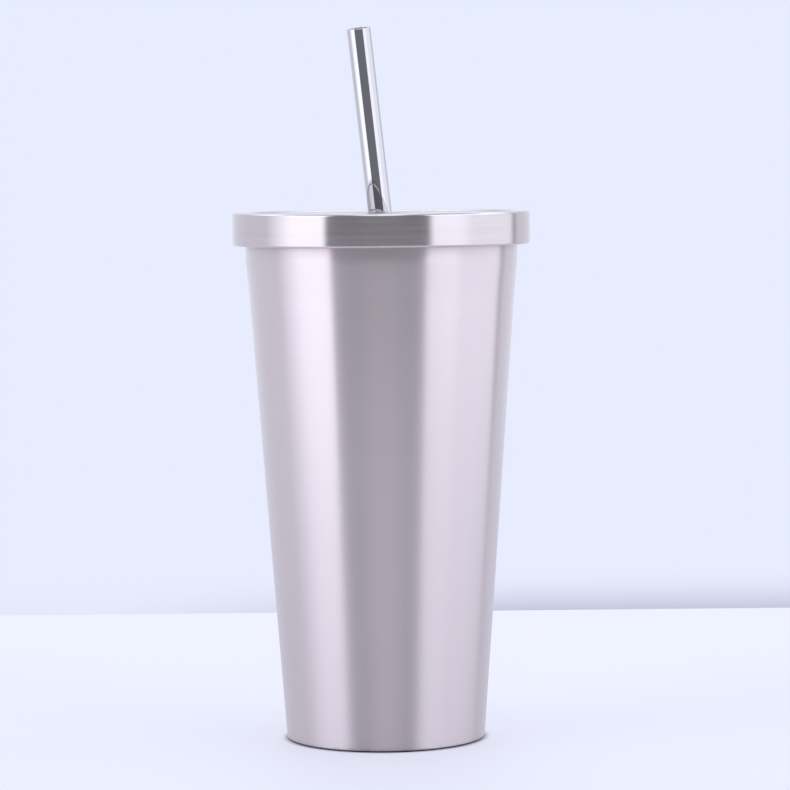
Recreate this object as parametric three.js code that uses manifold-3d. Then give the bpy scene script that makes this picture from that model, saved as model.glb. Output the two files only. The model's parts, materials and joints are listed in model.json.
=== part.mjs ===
// An insulated steel tumbler with a push-on lid and a drinking straw, in millimetres, +Z up.
// The origin is the centre of the ring that it stands on.
//
// Two drawn steel cups, one inside the other, meet at the drinking lip and are closed at the
// bottom by a vacuum base and a base cover. The lid is a steel cover over a moulded plug with a
// silicone seal, and a silicone grommet in its centre holds the straw, which leans in the cup.
import * as THREE from "three";
import { mergeVertices } from "three/addons/utils/BufferGeometryUtils.js";
import Module from "manifold-3d";

const wasm = await Module();
wasm.setup();

// ---------------------------------------------------------------- driving dimensions
const ROUND_STEPS = 48; // flats around the large turned pieces
const SMALL_STEPS = 32; // flats around the grommet, straw and pellets
const SHEET = 0.5; // steel sheet of the cup and the lid cover
const SEAM = 0.1; // space between two pieces that touch on the real cup
const RUN = 0.25; // space around a piece that slides

// cup
const BASE_RADIUS = 33.65; // outer wall, where it would meet the floor
const MOUTH_RADIUS = 45.9; // outer wall of the upright neck
const CUP_HEIGHT = 174.9; // floor to lip
const BASE_CORNER = 1.0; // outside radius between wall and standing ring
const STANDING_RING = 2.4; // width of the flat ring that touches the table
const RING_FLANGE = 1.6; // height of the flange inside the standing ring
const INSULATION = 2.0; // evacuated space between the two walls
const INNER_FLOOR = 10.5; // height of the inside floor
const FLOOR_CORNER = 3.0; // inside radius between liner wall and floor
const NECK_DEPTH = 12.0; // height of the upright neck, where the liner lies on the outer shell
const NECK_BEND = 30.0; // bend radius of the outer shell at the foot of the neck
const SWELL_HEIGHT = 11.0; // height below the neck over which the outer shell swells to the cone
const SWELL = 1.1; // how far it swells over that height
const SWELL_BEND = 60.0; // bend radius where the swell meets the cone
const SHOULDER = 8.0; // height over which the liner steps in below the neck
const SHOULDER_BEND = 3.0; // bend radius of that step
const LIP_BEND = SHEET + 0.03; // outside bend radius of the folded drinking lip
const LIP_FOLD = 1.6; // height of the liner's edge, folded down outside the lip

// base
const COVER_RECESS = 1.9; // how far the base cover's face lies above the table
const COVER_RIM = 0.4; // height of the base cover's lower edge above the table
const COVER_BAND = 9.0; // width of the base cover's outer band, down to its pressed step
const COVER_STEP = 0.4;
const VACUUM_BASE_LEVEL = 4.6; // underside of the vacuum base
const VACUUM_BASE_RIM = 3.0; // height of its turned-up rim
const DIMPLE_RADIUS = 8.0; // dimple around the pumping hole
const DIMPLE_DEPTH = 1.0;
const PUMP_HOLE_RADIUS = 1.2;
const BEAD_RADIUS = 2.8; // sealing bead under the pumping hole
const BEAD_HEIGHT = 0.7;
const PELLET_RADIUS = 4.0; // getter pellet
const PELLET_HEIGHT = 1.2;
const STRAP_SHEET = 0.3;
const STRAP_WIDTH = 4.0;
const STRAP_FOOT = 4.0; // length of each welded foot of the strap

// lid
const LID_OVERHANG = 4.4; // how far the lid stands out past the lip
const BAND_HEIGHT = 11.0; // height of the steel band around the lid
const LID_CORNER = 0.8; // outside radius at the top of the band
const HEM_BEND = 0.8; // outside radius of the rolled lower edge
const HEM_WIDTH = 2.0;
const HEM_LIP = 1.5; // height of the turned-up end of the hem
const RIM_WIDTH = 5.4; // width of the raised rim around the lid's floor
const RIM_STEP_RUN = 1.2; // horizontal length of that step
const RIM_RISE = 0.5; // height of the raised rim over the lid's floor
const SEAT_MARGIN = 0.8; // pressed seat beyond the grommet's flange
const SEAT_DEPTH = 0.6;
const SEAT_RUN = 0.9;
const FLANGE = 2.6; // thickness of the plug's top plate
const SKIRT_WALL = 1.4; // plastic skirt behind the steel band
const PLUG_GAP = 0.6; // between the plug and the narrowest part of the neck
const PLUG_WALL = 2.4;
const PLUG_DEPTH = 11.8; // how far the plug reaches below the top plate
const PLUG_CHAMFER = 1.0;
const GROOVE_WIDTH = 4.0; // seal groove in the plug
const GROOVE_DEPTH = 1.2;
const GROOVE_TOP = 5.0; // distance from the top plate to the groove
const FIN_TIP = 0.4; // width of a seal fin at its tip
const BOSS_WALL = 2.0; // collar under the plate, around the grommet
const BOSS_GAP = 0.8; // between the collar and the grommet's barb
const BOSS_DEPTH = 4.0;
const RIB_COUNT = 8;
const RIB_WIDTH = 1.6;
const RIB_DEPTH = 3.0;

// grommet and straw
const GROMMET_WALL = 2.2; // from the straw to the hole through cover and plug
const FLANGE_WIDTH = 2.4; // how far the grommet's flange lies over the hole's edge
const GROMMET_FLANGE_THICK = 0.6;
const BARB_REACH = 1.4; // how far the grommet's barb reaches under the hole's edge
const BARB_HEIGHT = 3.4;
const BARB_LEAD = 0.4; // how much narrower than the hole the barb's tip is
const VENT_WIDTH = 1.2; // air groove beside the straw
const VENT_DEPTH = 0.8;
const STRAW_RADIUS = 4.0;
const STRAW_WALL = 0.5;
const STRAW_ABOVE = 66.1; // length of straw above the underside of the lid's plate
const STRAW_EDGE = 0.2; // bevel of the tube's ends
const FOOT_GAP = 0.3; // space between the straw's foot and the liner
const LEAN_AZIMUTH = 49.0; // direction from the axis to the straw's foot, in degrees from +X

// ---------------------------------------------------------------- outlines
// The outer wall is an upright neck, a short swell below it, and a cone down to the foot.
const neckFoot = CUP_HEIGHT - NECK_DEPTH;
const coneTop = neckFoot - SWELL_HEIGHT;
const coneTopRadius = MOUTH_RADIUS - SWELL;
const neckRadius = MOUTH_RADIUS - 2 * SHEET - SEAM; // inside of the neck

function outerWall(z) {
  if (z >= neckFoot) return MOUTH_RADIUS;
  if (z >= coneTop) return MOUTH_RADIUS - (SWELL * (neckFoot - z)) / SWELL_HEIGHT;
  return BASE_RADIUS + ((coneTopRadius - BASE_RADIUS) * z) / coneTop;
}

const linerWall = (z) => outerWall(z) - 2 * SHEET - INSULATION; // inside of the liner

// Corners are [radius, height, bend]. A corner with a bend becomes an arc of that radius.
function bent(corners, stepAngle = Math.PI / 6) {
  const path = [];
  corners.forEach(([r, z, bend], i) => {
    const here = new THREE.Vector2(r, z);
    if (!bend || i === 0 || i === corners.length - 1) {
      path.push(here);
      return;
    }
    const back = new THREE.Vector2(...corners[i - 1].slice(0, 2)).sub(here).normalize();
    const ahead = new THREE.Vector2(...corners[i + 1].slice(0, 2)).sub(here).normalize();
    const half = Math.acos(THREE.MathUtils.clamp(back.dot(ahead), -1, 1)) / 2;
    const centre = back.clone().add(ahead).normalize().multiplyScalar(bend / Math.sin(half)).add(here);
    const reach = bend / Math.tan(half);
    const from = here.clone().addScaledVector(back, reach).sub(centre);
    const turn = (Math.PI - 2 * half) * Math.sign(back.cross(ahead)) * -1;
    const steps = Math.max(1, Math.round(Math.abs(turn) / stepAngle));
    for (let k = 0; k <= steps; k += 1) {
      const spoke = from.clone().rotateAround(new THREE.Vector2(), (turn * k) / steps);
      path.push(centre.clone().add(spoke));
    }
  });
  return path;
}

// The second face of a sheet whose first face is the path, on the right of its direction.
function otherFace(path, thickness) {
  return path.map((point, i) => {
    const before = path[Math.max(i - 1, 0)];
    const after = path[Math.min(i + 1, path.length - 1)];
    const into = point.clone().sub(before);
    const out = after.clone().sub(point);
    if (i === 0) into.copy(out);
    if (i === path.length - 1) out.copy(into);
    const a = new THREE.Vector2(into.y, -into.x).normalize();
    const b = new THREE.Vector2(out.y, -out.x).normalize();
    const mitre = a.add(b).normalize();
    return point.clone().addScaledVector(mitre, thickness / mitre.dot(b));
  });
}

// The closed outline of a sheet. A sheet that reaches the axis starts and ends there.
function sheetOutline(path, thickness) {
  const inner = otherFace(path, thickness).reverse();
  const atAxis = path[path.length - 1].x === 0;
  if (!atAxis) return [...path, ...inner];
  inner[0].x = 0;
  return [...inner, ...path];
}

// ---------------------------------------------------------------- solids
// Turns an outline about +Z. The outline starts and ends on the axis, or is closed here.
function turned(outline, steps = ROUND_STEPS) {
  const points = outline.map((p) => (p.isVector2 ? p.clone() : new THREE.Vector2(...p)));
  if (THREE.ShapeUtils.area(points) < 0) points.reverse();
  if (points[0].x > 0) points.push(points[0].clone());
  return new THREE.LatheGeometry(points, steps).rotateX(Math.PI / 2);
}

function solidOf(geometry) {
  const bare = geometry.clone().deleteAttribute("normal").deleteAttribute("uv");
  const merged = mergeVertices(bare, 1e-4);
  return new wasm.Manifold(
    new wasm.Mesh({
      numProp: 3,
      vertProperties: merged.attributes.position.array,
      triVerts: new Uint32Array(merged.index.array),
    }),
  );
}

function geometryOf(solid) {
  const mesh = solid.getMesh();
  const geometry = new THREE.BufferGeometry();
  geometry.setAttribute("position", new THREE.BufferAttribute(mesh.vertProperties, 3));
  geometry.setIndex(new THREE.BufferAttribute(mesh.triVerts, 1));
  geometry.computeVertexNormals();
  return geometry;
}

// ---------------------------------------------------------------- levels that pieces share
const plateUnder = CUP_HEIGHT + SEAM; // underside of the plug's top plate, on the lip
const plateTop = plateUnder + FLANGE;
const lidFloor = plateTop + SEAM + SHEET; // upper face of the lid's floor
const lidRim = lidFloor + RIM_RISE; // highest face of the lid
const bandFoot = lidRim - BAND_HEIGHT;
const seatTop = lidFloor - SEAT_DEPTH; // upper face of the seat around the grommet
const plugRadius = neckRadius - PLUG_GAP;
const plugFoot = plateUnder - PLUG_DEPTH;
const grooveTop = plateUnder - GROOVE_TOP;
const grooveFoot = grooveTop - GROOVE_WIDTH;
const ringInner = BASE_RADIUS - BASE_CORNER - STANDING_RING;
const lidRadius = MOUTH_RADIUS + LID_OVERHANG;
const rimInner = lidRadius - RIM_WIDTH - RIM_STEP_RUN; // where the rim's step meets the floor
const grommetHole = STRAW_RADIUS + GROMMET_WALL;
const grommetFlange = grommetHole + FLANGE_WIDTH;
const seatRadius = grommetFlange + SEAT_MARGIN;
const barbRadius = grommetHole + BARB_REACH;
const bossBore = barbRadius + BOSS_GAP;
const pivotLevel = plateUnder; // where the straw's axis crosses the cup's axis

// How far the straw leans: its foot rests on the floor, beside the liner's corner.
function strawLean() {
  let lean = 0;
  for (let pass = 0; pass < 8; pass += 1) {
    const heel = Math.min(2 * STRAW_RADIUS * Math.sin(lean), FLOOR_CORNER);
    const inset = FLOOR_CORNER - Math.sqrt(FLOOR_CORNER ** 2 - (FLOOR_CORNER - heel) ** 2);
    const reach = linerWall(INNER_FLOOR) - inset - STRAW_RADIUS * Math.cos(lean) - FOOT_GAP;
    const drop = pivotLevel - INNER_FLOOR - STRAW_RADIUS * Math.sin(lean) - SEAM;
    lean = Math.atan(reach / drop);
  }
  return lean;
}
const lean = strawLean();
const footLevel = INNER_FLOOR + SEAM + STRAW_RADIUS * Math.sin(lean);
const footDistance = (pivotLevel - footLevel) / Math.cos(lean); // pivot to foot, along the straw

// ---------------------------------------------------------------- cup
function outerShell() {
  const top = CUP_HEIGHT - LIP_FOLD - SEAM;
  const path = bent([
    [MOUTH_RADIUS, top],
    [MOUTH_RADIUS, neckFoot, NECK_BEND],
    [coneTopRadius, coneTop, SWELL_BEND],
    [BASE_RADIUS, 0, BASE_CORNER],
    [ringInner, 0, BASE_CORNER],
    [ringInner, RING_FLANGE],
  ]);
  return turned(sheetOutline(path, SHEET));
}

function innerLiner() {
  const step = neckFoot - SHOULDER;
  const path = bent([
    [MOUTH_RADIUS, CUP_HEIGHT - LIP_FOLD],
    [MOUTH_RADIUS, CUP_HEIGHT, LIP_BEND],
    [neckRadius, CUP_HEIGHT, LIP_BEND],
    [neckRadius, neckFoot, SHOULDER_BEND],
    [linerWall(step), step, SHOULDER_BEND],
    [linerWall(INNER_FLOOR), INNER_FLOOR, FLOOR_CORNER],
    [0, INNER_FLOOR],
  ]);
  return turned(sheetOutline(path, -SHEET));
}

function vacuumBase() {
  const plate = VACUUM_BASE_LEVEL + SHEET;
  const rim = outerWall(VACUUM_BASE_LEVEL) - SHEET - SEAM;
  const path = bent([
    [rim, plate + VACUUM_BASE_RIM],
    [rim, VACUUM_BASE_LEVEL, BASE_CORNER],
    [DIMPLE_RADIUS + DIMPLE_DEPTH, VACUUM_BASE_LEVEL],
    [DIMPLE_RADIUS, VACUUM_BASE_LEVEL - DIMPLE_DEPTH],
    [PUMP_HOLE_RADIUS, VACUUM_BASE_LEVEL - DIMPLE_DEPTH],
  ]);
  return turned(sheetOutline(path, SHEET));
}

function sealingBead() {
  const top = VACUUM_BASE_LEVEL - DIMPLE_DEPTH - SEAM;
  const shoulder = top - BEAD_HEIGHT / 3;
  const crown = BEAD_RADIUS / 2;
  const foot = top - BEAD_HEIGHT;
  const outline = [[0, foot], [crown, foot], [BEAD_RADIUS, shoulder], [BEAD_RADIUS, top], [0, top]];
  return turned(outline, SMALL_STEPS);
}

function baseCover() {
  const edge = ringInner - SEAM;
  const coverStep = edge - COVER_BAND;
  const path = bent([
    [edge - SHEET, COVER_RIM],
    [edge - SHEET, COVER_RECESS, SHEET],
    [coverStep, COVER_RECESS],
    [coverStep - COVER_STEP, COVER_RECESS - COVER_STEP],
    [0, COVER_RECESS - COVER_STEP],
  ]);
  return turned(sheetOutline(path, SHEET));
}

const pelletTop = INNER_FLOOR - SHEET - SEAM;
const pelletFoot = pelletTop - PELLET_HEIGHT;

function getterPellet() {
  const side = [[PELLET_RADIUS, pelletFoot], [PELLET_RADIUS, pelletTop]];
  return turned([[0, pelletFoot], ...side, [0, pelletTop]], SMALL_STEPS);
}

// A strip bent like a hat brim: two feet on the liner, and a pan that carries the pellet.
function getterStrap() {
  const pan = PELLET_RADIUS + SEAM;
  const under = pelletFoot - SEAM - STRAP_SHEET;
  const reach = pan + STRAP_SHEET;
  const face = [
    [-reach - STRAP_FOOT, pelletTop - STRAP_SHEET],
    [-reach, pelletTop - STRAP_SHEET],
    [-reach, under],
    [reach, under],
    [reach, pelletTop - STRAP_SHEET],
    [reach + STRAP_FOOT, pelletTop - STRAP_SHEET],
  ].map((p) => new THREE.Vector2(...p));
  const outline = [...face, ...otherFace(face, -STRAP_SHEET).reverse()];
  const options = { depth: STRAP_WIDTH, bevelEnabled: false };
  const strip = new THREE.ExtrudeGeometry(new THREE.Shape(outline), options);
  return strip.translate(0, 0, -STRAP_WIDTH / 2).rotateX(Math.PI / 2);
}

// ---------------------------------------------------------------- lid
function lidCover() {
  const path = bent([
    [grommetHole, seatTop],
    [seatRadius, seatTop, SHEET],
    [seatRadius + SEAT_RUN, lidFloor, SHEET],
    [rimInner, lidFloor, SHEET],
    [rimInner + RIM_STEP_RUN, lidRim, SHEET],
    [lidRadius, lidRim, LID_CORNER],
    [lidRadius, bandFoot, HEM_BEND],
    [lidRadius - HEM_WIDTH, bandFoot, HEM_BEND],
    [lidRadius - HEM_WIDTH, bandFoot + HEM_LIP],
  ], Math.PI / 4);
  return turned(sheetOutline(path, SHEET));
}

function lidPlug() {
  const skirt = lidRadius - SHEET - SEAM;
  const skirtFoot = bandFoot + HEM_LIP + RUN;
  const seatUnder = seatTop - SHEET - SEAM;
  const seatEdge = seatRadius + SHEET + SEAM;
  const boss = bossBore + BOSS_WALL;
  const bore = plugRadius - PLUG_WALL;
  const body = solidOf(turned([
    [grommetHole, seatUnder],
    [seatEdge, seatUnder],
    [seatEdge + SEAT_RUN, plateTop],
    [skirt, plateTop],
    [skirt, skirtFoot],
    [skirt - SKIRT_WALL, skirtFoot],
    [skirt - SKIRT_WALL, plateUnder],
    [plugRadius, plateUnder],
    [plugRadius, grooveTop],
    [plugRadius - GROOVE_DEPTH, grooveTop],
    [plugRadius - GROOVE_DEPTH, grooveFoot],
    [plugRadius, grooveFoot],
    [plugRadius, plugFoot + PLUG_CHAMFER],
    [plugRadius - PLUG_CHAMFER, plugFoot],
    [bore, plugFoot],
    [bore, plateUnder],
    [boss, plateUnder],
    [boss, plateUnder - BOSS_DEPTH],
    [bossBore, plateUnder - BOSS_DEPTH],
    [bossBore, plateUnder],
    [grommetHole, plateUnder],
  ]));
  const bite = PLUG_WALL / 3; // how far a rib runs into the wall, boss and plate
  const ribStart = boss - bite;
  const ribEnd = bore + bite;
  const ribs = Array.from({ length: RIB_COUNT }, (_, i) => {
    const rib = new THREE.BoxGeometry(ribEnd - ribStart, RIB_WIDTH, RIB_DEPTH + bite);
    rib.translate((ribStart + ribEnd) / 2, 0, plateUnder + (bite - RIB_DEPTH) / 2);
    return solidOf(rib.rotateZ(((i + 0.5) * 2 * Math.PI) / RIB_COUNT));
  });
  return geometryOf(ribs.reduce((plug, rib) => plug.add(rib), body));
}

// A ring in the plug's groove, with two fins that reach for the neck.
function lidSeal() {
  const inner = plugRadius - GROOVE_DEPTH + SEAM;
  const face = plugRadius - SEAM;
  const foot = grooveFoot + SEAM;
  const top = grooveTop - SEAM;
  const tip = neckRadius - RUN;
  const pitch = (top - foot) / 2;
  const fins = [0, 1].flatMap((i) => {
    const middle = foot + pitch * (i + 0.5);
    return [
      [face, middle - FIN_TIP * 1.5],
      [tip, middle - FIN_TIP / 2],
      [tip, middle + FIN_TIP / 2],
      [face, middle + FIN_TIP * 1.5],
    ];
  });
  return turned([[inner, foot], [face, foot], ...fins, [face, top], [inner, top]]);
}

// A solid bar along the straw's axis, in the cup's frame.
function barAlongStraw(section) {
  const direction = new THREE.Euler(0, -lean, THREE.MathUtils.degToRad(LEAN_AZIMUTH), "ZYX");
  const turn = new THREE.Matrix4().makeRotationFromEuler(direction);
  return section.applyMatrix4(turn).translate(0, 0, pivotLevel);
}

function strawGrommet() {
  const waist = grommetHole - RUN;
  const top = seatTop + SEAM + GROMMET_FLANGE_THICK;
  const barbTop = plateUnder - SEAM;
  const barbFoot = barbTop - BARB_HEIGHT;
  const ring = solidOf(turned([
    [0, barbFoot],
    [grommetHole - BARB_LEAD, barbFoot],
    [barbRadius, barbTop - SHEET],
    [barbRadius, barbTop],
    [waist, barbTop],
    [waist, seatTop + SEAM],
    [grommetFlange, seatTop + SEAM],
    [grommetFlange - SEAM, top],
    [0, top],
  ], SMALL_STEPS));
  const through = 4 * BARB_HEIGHT; // long enough to pass both faces
  const boreRadius = STRAW_RADIUS + RUN;
  const bore = new THREE.CylinderGeometry(boreRadius, boreRadius, through, SMALL_STEPS);
  bore.rotateX(Math.PI / 2);
  const vent = new THREE.BoxGeometry(VENT_WIDTH, 2 * (boreRadius + VENT_DEPTH), through);
  const cut = solidOf(barAlongStraw(bore)).add(solidOf(barAlongStraw(vent)));
  return geometryOf(ring.subtract(cut));
}

function drinkingStraw() {
  const bore = STRAW_RADIUS - STRAW_WALL;
  const foot = -footDistance;
  const top = STRAW_ABOVE;
  const edge = STRAW_EDGE;
  return turned([
    [bore + edge / 2, foot],
    [STRAW_RADIUS - edge, foot],
    [STRAW_RADIUS, foot + edge],
    [STRAW_RADIUS, top - edge],
    [STRAW_RADIUS - edge, top],
    [bore + edge / 2, top],
    [bore, top - edge],
    [bore, foot + edge],
  ], SMALL_STEPS);
}

// ---------------------------------------------------------------- assembly
function finish(color, roughness, metalness) {
  return new THREE.MeshStandardMaterial({ color, roughness, metalness });
}


const brushedSteel = finish("#b3acb6", 0.35, 1);
const satinSteel = finish("#a9a4ad", 0.45, 1);
const rawSteel = finish("#8f8c90", 0.6, 1);
const polishedSteel = finish("#d9d8de", 0.08, 1);
const sealingGlass = finish("#3d3b38", 0.2, 0);
const getterMetal = finish("#56545a", 0.8, 0.5);
const whitePlastic = finish("#e8e8e6", 0.45, 0);
const clearSilicone = finish("#dfe2e4", 0.5, 0);

function piece(name, geometry, material) {
  const mesh = new THREE.Mesh(geometry, material);
  mesh.name = name;
  return mesh;
}

const cup = new THREE.Group().add(
  piece("outer_shell", outerShell(), brushedSteel),
  piece("inner_liner", innerLiner(), satinSteel),
  piece("vacuum_base", vacuumBase(), rawSteel),
  piece("sealing_bead", sealingBead(), sealingGlass),
  piece("base_cover", baseCover(), satinSteel),
  piece("getter_pellet", getterPellet(), getterMetal),
  piece("getter_strap", getterStrap(), rawSteel),
);

const lid = new THREE.Group().add(
  piece("lid_cover", lidCover(), brushedSteel),
  piece("lid_plug", lidPlug(), whitePlastic),
  piece("lid_seal", lidSeal(), clearSilicone),
  piece("straw_grommet", strawGrommet(), clearSilicone),
);

const leaningStraw = new THREE.Group().add(piece("drinking_straw", drinkingStraw(), polishedSteel));
leaningStraw.rotation.set(0, -lean, THREE.MathUtils.degToRad(LEAN_AZIMUTH), "ZYX");
leaningStraw.position.z = pivotLevel;

const tumbler = new THREE.Group().add(cup, lid, leaningStraw);

export default tumbler;
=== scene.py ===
# %% [markdown]
# # A steel tumbler with a lid and a straw
#
# This notebook dresses a drinking tumbler. The packed model gives the frame: where each piece is,
# and which body it moves with. Here each piece that can be seen is made again as a smooth surface
# of revolution, and gets the finish of the real metal, plastic or silicone.
# We start with the frame, because every later cell asks it for sizes.

# %% Load the frame
import json
import math

import bmesh
import bpy
import numpy as np
from mathutils import Matrix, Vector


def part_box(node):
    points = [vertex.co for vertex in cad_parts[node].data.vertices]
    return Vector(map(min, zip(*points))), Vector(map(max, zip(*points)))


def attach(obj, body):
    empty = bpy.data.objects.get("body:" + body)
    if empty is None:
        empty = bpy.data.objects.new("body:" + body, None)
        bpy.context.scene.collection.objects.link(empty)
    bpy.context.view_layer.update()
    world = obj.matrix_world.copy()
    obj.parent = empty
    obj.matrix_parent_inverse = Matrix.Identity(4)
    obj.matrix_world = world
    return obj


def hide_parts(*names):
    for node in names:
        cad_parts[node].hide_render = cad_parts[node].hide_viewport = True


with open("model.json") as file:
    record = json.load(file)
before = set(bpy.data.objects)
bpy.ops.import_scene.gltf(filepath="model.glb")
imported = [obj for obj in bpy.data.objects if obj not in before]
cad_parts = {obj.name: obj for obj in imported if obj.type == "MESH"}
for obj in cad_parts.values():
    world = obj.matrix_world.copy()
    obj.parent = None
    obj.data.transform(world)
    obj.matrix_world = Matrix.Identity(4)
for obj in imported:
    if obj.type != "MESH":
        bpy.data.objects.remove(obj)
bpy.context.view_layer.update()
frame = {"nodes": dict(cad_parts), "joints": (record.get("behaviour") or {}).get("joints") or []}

# %% [markdown]
# ## Camera and colour
#
# A tumbler looks right through a long lens from a little over a metre away: its sides stay almost
# parallel, and the lid is seen nearly edge-on. The lens height is just above the lid. The "Standard"
# view keeps white paper white, which suits a pale studio.

# %% Set the camera
CAMERA_DISTANCE = 1.1509  # from the cup's axis
CAMERA_HEIGHT = 0.1969
CAMERA_PITCH = 3.992  # degrees below level
CAMERA_HEADING = 0.205  # degrees to the right of straight on
CAMERA_ROLL = 0.536  # degrees, the camera leans to the right
LENS = 155.0

camera_data = bpy.data.cameras.new("camera")
camera_data.sensor_width = 36.0
camera_data.lens = LENS
camera = bpy.data.objects.new("camera", camera_data)
bpy.context.scene.collection.objects.link(camera)
camera.matrix_world = (
    Matrix.Translation((0.0, -CAMERA_DISTANCE, CAMERA_HEIGHT))
    @ Matrix.Rotation(math.radians(-CAMERA_HEADING), 4, "Z")
    @ Matrix.Rotation(math.radians(90.0 - CAMERA_PITCH), 4, "X")
    @ Matrix.Rotation(math.radians(-CAMERA_ROLL), 4, "Z")
)
bpy.context.scene.camera = camera
bpy.context.scene.view_settings.view_transform = "Standard"
print("lens", LENS, "mm at", CAMERA_DISTANCE, "m")

# %% [markdown]
# ## A small language for shader maths
#
# Node trees are easier to read as formulas. A `Wire` is one output socket. Adding, subtracting,
# multiplying or dividing wires adds Math nodes, and `node` adds any other node. Numbers alone are
# worked out by Python and never become nodes.

# %% Wires
class Wire:
    """One output socket of a node tree, with operators that add Math nodes."""

    def __init__(self, tree, socket=None):
        self.tree = tree
        self.socket = socket

    def node(self, kind, settings=None, inputs=None, out=0):
        """Adds a node: its settings first, then its inputs by name or place; gives one output."""
        made = self.tree.nodes.new(kind)
        for key, value in (settings or {}).items():
            if key == "stops":
                set_stops(made.color_ramp, value)
            else:
                setattr(made, key, value)
        for key, value in (inputs or {}).items():
            if isinstance(value, Wire):
                self.tree.links.new(value.socket, made.inputs[key])
            else:
                made.inputs[key].default_value = value
        return Wire(self.tree, made.outputs[out] if len(made.outputs) else None)

    def maths(self, operation, *values):
        """One Math node with this wire first, or with the given values alone."""
        return self.node("ShaderNodeMath", {"operation": operation}, dict(enumerate(values)))

    def __add__(self, other):
        return self.maths("ADD", self, other)

    def __sub__(self, other):
        return self.maths("SUBTRACT", self, other)

    def __rsub__(self, other):
        return self.maths("SUBTRACT", other, self)

    def __mul__(self, other):
        return self.maths("MULTIPLY", self, other)

    def __truediv__(self, other):
        return self.maths("DIVIDE", self, other)

    def __rtruediv__(self, other):
        return self.maths("DIVIDE", other, self)

    def __pow__(self, other):
        return self.maths("POWER", self, other)

    __radd__ = __add__
    __rmul__ = __mul__

    def ramp(self, low, high):
        """0 below low, 1 above high, and a smooth rise between."""
        return self.node(
            "ShaderNodeMapRange",
            {"interpolation_type": "SMOOTHSTEP"},
            {"Value": self, "From Min": low, "From Max": high},
        )

    def blend(self, first, second):
        """first where this wire is 0, second where it is 1; both are colours or colour wires."""
        return self.node(
            "ShaderNodeMix",
            {"data_type": "RGBA"},
            {"Factor": self, 6: first, 7: second},
            out=2,
        )


def set_stops(color_ramp, stops):
    """Puts (place, colour) stops on a colour ramp, in order."""
    color_ramp.interpolation = "LINEAR"
    elements = color_ramp.elements
    while len(elements) < len(stops):
        elements.new(1.0)
    for element, (place, colour) in zip(elements, stops):
        element.position = place
        element.color = colour
    return color_ramp


def rgb(red, green, blue):
    """A linear colour with full alpha."""
    return (red, green, blue, 1.0)


print("Wire has", len([k for k in vars(Wire) if k.startswith("__")]), "special methods")

# %% [markdown]
# ## Studio light
#
# Polished and brushed steel show little of their own: they show the room. A plain product studio has
# one tall white panel left of the object and one right of it, white walls beside and behind, and a
# dark room behind the camera. A round piece of steel then gets a dark stripe in its middle and a
# bright stripe on each side. All the panels are the same cool white and differ only in how bright
# they are, and the space between two panels fades from one to the next.
# The room is made as the world's light, by the compass direction of a ray. The panels are brighter
# high up, a dim wall is above them, and one bright strip runs overhead. Camera rays get the plain
# pale backdrop instead.

# %% The room
def room_direction(degrees):
    """Place on the compass ramp of a direction: 0 is towards the camera, positive is its right."""
    return (degrees + 180.0) / 360.0


BACKDROP = rgb(0.800, 0.838, 0.995)
COOL_WHITE = (1.0, 1.04, 1.16)
PANELS = [  # from and to, in degrees from the camera's direction, and how bright
    (-180, -100, 0.85),  # white wall behind, on the left
    (-75, -46, 1.65),  # left panel
    (-42, 36, 0.23),  # dark room behind the camera
    (41, 65, 1.5),  # right panel
    (75, 118, 1.25),  # white wall beside, on the right
    (124, 126, 0.55),  # joint between the two walls
    (130, 180, 0.85),  # white wall behind, on the right
]
PANEL_GLOW_FROM = 0.38  # sine of the height above which the walls get brighter
PANEL_GLOW = 1.1  # by how much
PANEL_TOP = 0.68  # sine of the height where the panels end
WALL_TOP = rgb(0.48, 0.50, 0.56)
OVERHEAD_FROM = 0.55  # sine of the height where the bright overhead strip starts
OVERHEAD = rgb(1.55, 1.57, 1.70)


def light_room(world):
    """Colours the world by compass direction and height, and plain for camera rays."""
    world.use_nodes = True
    world.node_tree.nodes.clear()
    wire = Wire(world.node_tree)
    direction = wire.node("ShaderNodeTexCoord", out="Generated")
    east = wire.node("ShaderNodeSeparateXYZ", None, {0: direction}, out="X")
    north = wire.node("ShaderNodeSeparateXYZ", None, {0: direction}, out="Y")
    height = wire.node("ShaderNodeSeparateXYZ", None, {0: direction}, out="Z")
    compass = wire.maths("ARCTAN2", east, north * -1.0) / (2.0 * math.pi) + 0.5
    stops = [
        (room_direction(degrees), rgb(*(bright * c for c in COOL_WHITE)))
        for start, end, bright in PANELS
        for degrees in (start, end)
    ]
    walls = wire.node("ShaderNodeValToRGB", {"stops": stops}, {0: compass})
    glow = height.ramp(PANEL_GLOW_FROM, PANEL_GLOW_FROM + 0.25) * PANEL_GLOW + 1.0
    panels = wire.node("ShaderNodeVectorMath", {"operation": "SCALE"}, {0: walls, "Scale": glow})
    closed = height.ramp(PANEL_TOP, PANEL_TOP + 0.08).blend(panels, WALL_TOP)
    overhead = height.ramp(OVERHEAD_FROM, OVERHEAD_FROM + 0.12)
    along = 1.0 - wire.maths("ABSOLUTE", east).ramp(0.12, 0.30)
    room = (overhead * along).blend(closed, OVERHEAD)
    seen = wire.node("ShaderNodeLightPath", out="Is Camera Ray")
    colour = seen.blend(room, BACKDROP)
    light = wire.node("ShaderNodeBackground", None, {"Color": colour})
    wire.node("ShaderNodeOutputWorld", None, {"Surface": light})


world = bpy.data.worlds.new("studio")
bpy.context.scene.world = world
light_room(world)
print("the room has", len(PANELS), "plain panels")

# %% [markdown]
# ## Surfaces of revolution
#
# Every large piece of a tumbler is spun, drawn or moulded round one axis, so one function makes them
# all: it carries an outline round +Z. Sheet metal has a constant thickness, so its outline is one
# path of corners with bends and a second path beside it. Real bends matter: a bend of half a
# millimetre is what catches the light along an edge.

# %% Outlines
MM = 0.001
BEND_STEP = math.radians(9.0)  # turn between two points of a bend


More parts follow.
